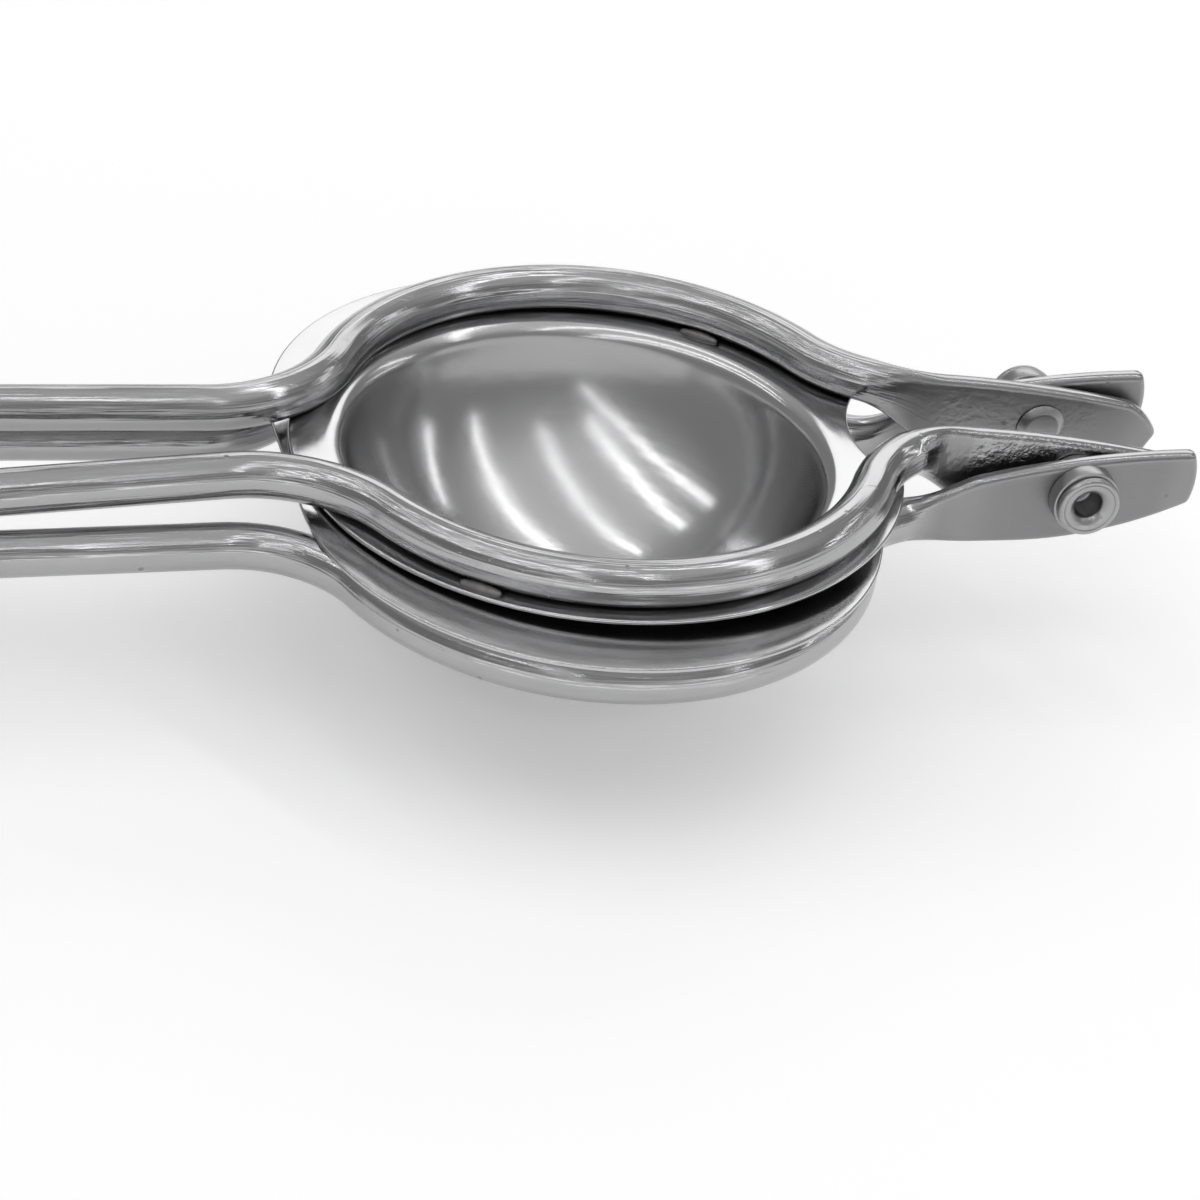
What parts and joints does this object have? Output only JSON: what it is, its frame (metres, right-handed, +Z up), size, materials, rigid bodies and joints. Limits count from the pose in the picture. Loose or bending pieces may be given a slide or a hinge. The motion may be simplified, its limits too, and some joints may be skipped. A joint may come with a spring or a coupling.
{
  "type": "hinged lemon squeezer",
  "caption": "Hand-held citrus squeezer of two bent steel bars with nested pressed cups, joined by riveted straps at one end and squeezed at the looped handles.",
  "frame": {"origin": "centre of the flat foot under the strainer cup, on the cup's axis", "axes": "+Z up out of the strainer cup, +X toward the hinge, handles along -X, hinge axis along Y"},
  "size_m": [0.2161, 0.102, 0.0382],
  "materials": {
    "polished_bar": "mirror polished stainless bar with fine scratches and small nicks",
    "pressed_sheet": "satin stainless sheet with faint spinning marks",
    "hinge_steel": "tumbled stainless, slightly rough",
    "weld_metal": "rough weld bead"
  },
  "bodies": {
    "strainer_half": {"strainer_lever": "polished_bar", "strainer_cup": "pressed_sheet", "strainer_welds": "weld_metal", "front_rivet": "hinge_steel", "back_rivet": "hinge_steel", "front_collar": "hinge_steel", "back_collar": "hinge_steel", "front_spacer": "hinge_steel", "back_spacer": "hinge_steel"},
    "press_half": {"press_lever": "polished_bar", "press_cup": "pressed_sheet", "press_welds": "weld_metal"}
  },
  "joints": [
    {"name": "lever_hinge", "type": "hinge", "parent": "strainer_half", "child": "press_half", "pos_m": [0.07, 0, 0.0292], "axis": [0, 1, 0], "range_deg": [0, 180]}
  ]
}
